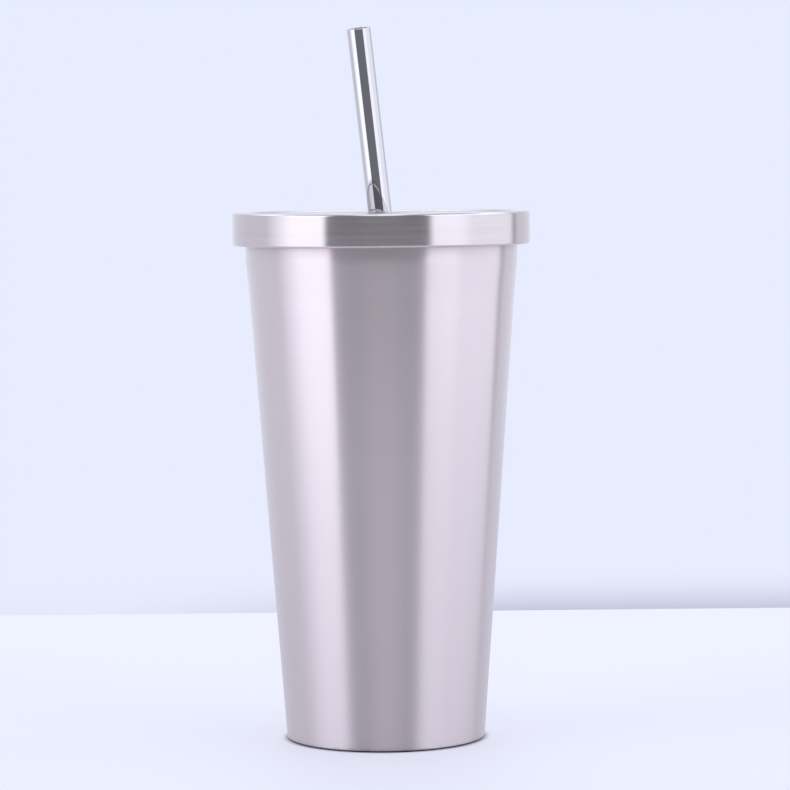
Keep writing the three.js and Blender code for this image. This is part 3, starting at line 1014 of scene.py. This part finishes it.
straw_bore = STRAW_RADIUS - STRAW_WALL
straw_foot = STRAW_ABOVE - STRAW_LENGTH
straw_walls = bent(
    [
        (straw_bore + 0.25, straw_foot),
        (STRAW_RADIUS, straw_foot, STRAW_EDGE),
        (STRAW_RADIUS, STRAW_ABOVE, STRAW_EDGE),
        (straw_bore, STRAW_ABOVE, STRAW_EDGE),
        (straw_bore, straw_foot, STRAW_EDGE),
        (straw_bore + 0.25, straw_foot),
    ]
)[:-1]
drinking_straw = lean_over(turned("drinking_straw_tube", straw_walls, AROUND_SMALL))
drinking_straw.data.materials.append(straw_steel)
join_frame(drinking_straw, "straw", "drinking_straw")

# %% [markdown]
# ## Pieces sealed in the base
#
# Four solids lie in the insulating space, where nobody sees them: the vacuum base, the bead of glass
# that seals its hole, and the getter with its strap. They keep their solids and get honest finishes.

# %% Finish the hidden pieces
def plain_finish(name, tone, inputs, scale):
    """A cast, fused or pressed surface: mottled colour, uneven roughness and a coarse bump."""
    material, wire = new_material(name, tone)
    place = place_on(wire)[0]
    mottle = clouds(wire, place, scale, 4.0)
    colour = mottle.ramp(0.3, 0.7).blend(tuple(0.85 * c for c in tone[:3]) + (1.0,), tone)
    rough = inputs.pop("Roughness") + (mottle - 0.5) * 0.2
    shade(wire, {"Base Color": colour, "Roughness": rough, **inputs}, mottle, strength=0.4, distance=5e-5)
    return material


hidden = {
    "vacuum_base": satin_steel("pressed_steel", rgb(0.56, 0.55, 0.56), 0.42),
    "getter_strap": satin_steel("strap_steel", rgb(0.56, 0.55, 0.56), 0.45, draw_marks=False),
    "sealing_bead": plain_finish(
        "sealing_glass", rgb(0.05, 0.045, 0.04), {"Roughness": 0.2, "IOR": 1.6, "Coat Weight": 0.6}, 700.0
    ),
    "getter_pellet": plain_finish(
        "getter_powder", rgb(0.10, 0.095, 0.105), {"Roughness": 0.8, "Metallic": 0.5}, 2500.0
    ),
}
for node, material in hidden.items():
    solid = frame["nodes"][node]
    solid.data.materials.clear()
    solid.data.materials.append(material)
print("finished", len(hidden), "hidden solids")

# %% [markdown]
# ## Table
#
# The cup stands on an opal sheet that is lit from below, so its shadow stays faint; round its foot
# the glow is left out, a painted contact shadow. The sheet ends a hand's length behind the cup and
# is a little cool, as the backdrop is.

# %% Make the table
TABLE_BACK = 0.318
TABLE_FRONT = -0.56
TABLE_SIDE = 0.42


def flat_sheet(name, corners):
    """One flat face through the given corners, in metres."""
    mesh = bpy.data.meshes.new(name)
    mesh.from_pydata(corners, [], [tuple(range(len(corners)))])
    piece = bpy.data.objects.new(name, mesh)
    bpy.context.scene.collection.objects.link(piece)
    return piece


def on_table(name, level, *corners):
    """A flat sheet at one level, from its (x, y) corners."""
    return flat_sheet(name, [(x, y, level) for x, y in corners])


table = on_table(
    "table_sheet",
    0.0,
    (-TABLE_SIDE, TABLE_FRONT),
    (TABLE_SIDE, TABLE_FRONT),
    (TABLE_SIDE, TABLE_BACK),
    (-TABLE_SIDE, TABLE_BACK),
)


def opal(name, tone, glow):
    """Opal sheet lit from below: it glows except under the cup and in a painted contact shadow round its
    foot, and has the finest tooth.
    """
    material, wire = new_material(name, tone)
    place, x, y, z, radius = place_on(wire)
    mottle = clouds(wire, place, 5.0)
    colour = mottle.ramp(0.3, 0.7).blend(tuple(0.985 * c for c in tone[:3]) + (1.0,), tone)
    # Painted contact shadow: no glow under the cup, fading back in between 32.5 and 36 mm from the axis,
    # just outside the foot.
    glow_outside_painted_shadow = radius.ramp(0.0325, 0.0360)
    shade(
        wire,
        {
            "Base Color": colour,
            "Roughness": 0.6 + (mottle - 0.5) * 0.05,
            "Specular IOR Level": 0.2,
            "Emission Color": glow_outside_painted_shadow.blend(rgb(0.0, 0.0, 0.0), glow),
            "Emission Strength": 1.0,
        },
        clouds(wire, place, 1500.0),
        strength=0.05,
        distance=2e-5,
    )
    return material


table.data.materials.append(opal("opal_sheet", rgb(0.34, 0.34, 0.34), rgb(0.42, 0.43, 0.53)))

# A wider floor in the same white, seen by the camera alone, so that no table edge is near.
floor = on_table(
    "wide_floor", -0.0004, (-5.0, -5.0), (5.0, -5.0), (5.0, TABLE_BACK), (-5.0, TABLE_BACK)
)
floor.data.materials.append(table.data.materials[0])
floor.visible_glossy = False
floor.visible_diffuse = False
floor.visible_shadow = False
print("table from", TABLE_FRONT, "to", TABLE_BACK, "m")

# %% [markdown]
# Two lit cards lie on the table in front, left and right of the lens and out of its sight. A tapered
# cup looks down at them, so its lower half keeps the bright stripes. Behind the table's edge a strip
# of backdrop glows with painted shade.

# %% Lay the cards and the strip of painted shade
def glow(name, colour_of):
    """A surface that only gives light, in the colour that the function makes from x, y, z."""
    material, wire = new_material(name, rgb(0.8, 0.8, 0.8))
    place, x, y, z, radius = place_on(wire)
    shade(
        wire,
        {
            "Base Color": rgb(0.0, 0.0, 0.0),
            "Roughness": 1.0,
            "Specular IOR Level": 0.0,
            "Emission Color": colour_of(wire, x, y),
            "Emission Strength": 1.0,
        },
    )
    return material


def card_glow(tone):
    """Brightest at the far end and dimmer near the cup, as under a slanted panel. The underside is
    as bright as the room, so that the table's own sheen doesn't show where a card lies."""
    near = tuple(0.8 * c for c in tone[:3]) + (1.0,)

    def colour_of(wire, x, y):
        underside = wire.node("ShaderNodeNewGeometry", out="Backfacing")
        return underside.blend((0.0 - y).ramp(0.10, 0.45).blend(near, tone), rgb(1.0, 1.05, 1.18))

    return colour_of


# The cards light the steel and stay out of sight: neither the camera nor the table gets them.
left_card = on_table("left_card", 0.001, (-0.107, -0.114), (-0.420, -0.114), (-0.390, -0.430))
left_card.data.materials.append(glow("left_card_glow", card_glow(rgb(1.5, 1.5, 1.6))))
right_card = on_table("right_card", 0.001, (0.097, -0.114), (0.350, -0.420), (0.415, -0.114))
right_card.data.materials.append(glow("right_card_glow", card_glow(rgb(0.9, 0.9, 1.0))))

for card in (left_card, right_card):
    card.visible_camera = False
    card.visible_diffuse = False
    card.visible_shadow = False

STRIP_DEPTH = 0.150
# Colour of the painted shade on the strip behind the table.
SHADE = rgb(0.550, 0.575, 0.725)


def painted_shade_colour(wire, x, y):
    """Painted shade next to the table's edge, deeper to the right, clear backdrop at the far side."""
    depth = 1.0 - (y - TABLE_BACK) / STRIP_DEPTH
    return (depth * depth * (x.ramp(-0.14, 0.07) * 0.9 + 0.1)).blend(BACKDROP, SHADE)


strip = on_table(
    "backdrop_painted_shade",
    -0.0002,
    (-0.6, TABLE_BACK),
    (0.6, TABLE_BACK),
    (0.6, TABLE_BACK + STRIP_DEPTH),
    (-0.6, TABLE_BACK + STRIP_DEPTH),
)
strip.data.materials.append(glow("strip_painted_shade", painted_shade_colour))
print("strip behind the table,", STRIP_DEPTH, "m deep")
